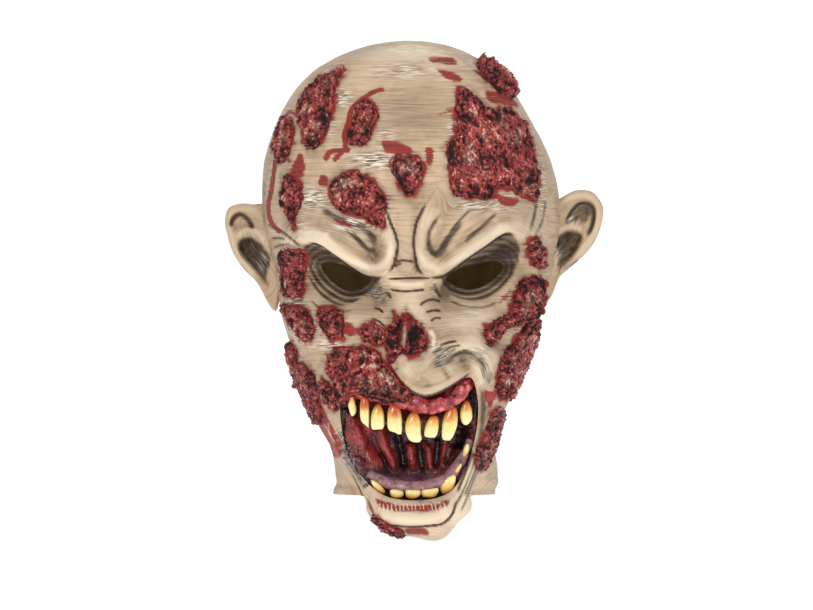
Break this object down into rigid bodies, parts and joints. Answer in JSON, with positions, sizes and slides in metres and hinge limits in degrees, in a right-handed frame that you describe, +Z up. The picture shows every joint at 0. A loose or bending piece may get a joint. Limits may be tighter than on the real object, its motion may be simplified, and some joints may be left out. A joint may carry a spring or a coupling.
{
  "type": "zombie mask",
  "caption": "Full-head painted latex costume mask of a scarred bald head: open eye holes, ears, gaping toothed mouth and raised clotted wounds",
  "frame": {"origin": "inside of the crown, where the wearer's head meets the mask", "axes": "+Z up, the face looks along -Y, +X to the right of someone looking at the face"},
  "size_m": [0.2519, 0.2531, 0.3402],
  "materials": {
    "skin_latex": "matt cast latex, dry-brushed over a dark wash",
    "wound_latex": "crumbled latex with wet-look gloss",
    "mouth_latex": "ribbed latex, satin, dark in the grooves",
    "gum_latex": "glossy painted latex",
    "tooth_enamel": "glossy, yellow to orange at the root"
  },
  "bodies": {
    "root": {"mask_shell": "skin_latex", "ear_right": "skin_latex", "ear_left": "skin_latex", "mouth_lining": "mouth_latex", "upper_gum": "gum_latex", "lower_gum": "gum_latex", "upper_tooth_1": "tooth_enamel", "upper_tooth_2": "tooth_enamel", "upper_tooth_3": "tooth_enamel", "upper_tooth_4": "tooth_enamel", "upper_tooth_5": "tooth_enamel", "upper_tooth_6": "tooth_enamel", "upper_tooth_7": "tooth_enamel", "upper_tooth_8": "tooth_enamel", "lower_tooth_1": "tooth_enamel", "lower_tooth_2": "tooth_enamel", "lower_tooth_3": "tooth_enamel", "lower_tooth_4": "tooth_enamel", "lower_tooth_5": "tooth_enamel", "lower_tooth_6": "tooth_enamel", "lower_tooth_7": "tooth_enamel", "wound_crown_right": "wound_latex", "wound_side_right": "wound_latex", "wound_temple_right": "wound_latex", "wound_forehead_right": "wound_latex", "wound_brow_right": "wound_latex", "wound_forehead_middle": "wound_latex", "wound_crown_left": "wound_latex", "wound_forehead_left": "wound_latex", "wound_temple_left": "wound_latex", "wound_cheekbone_left": "wound_latex", "wound_cheek_left": "wound_latex", "wound_jaw_left": "wound_latex", "wound_eye_corner_right": "wound_latex", "wound_cheekbone_right": "wound_latex", "wound_under_eye_right": "wound_latex", "wound_nose_side": "wound_latex", "wound_nose": "wound_latex", "wound_lip_right": "wound_latex", "wound_cheek_right": "wound_latex", "wound_jaw_right": "wound_latex", "wound_chin": "wound_latex"}
  },
  "joints": []
}
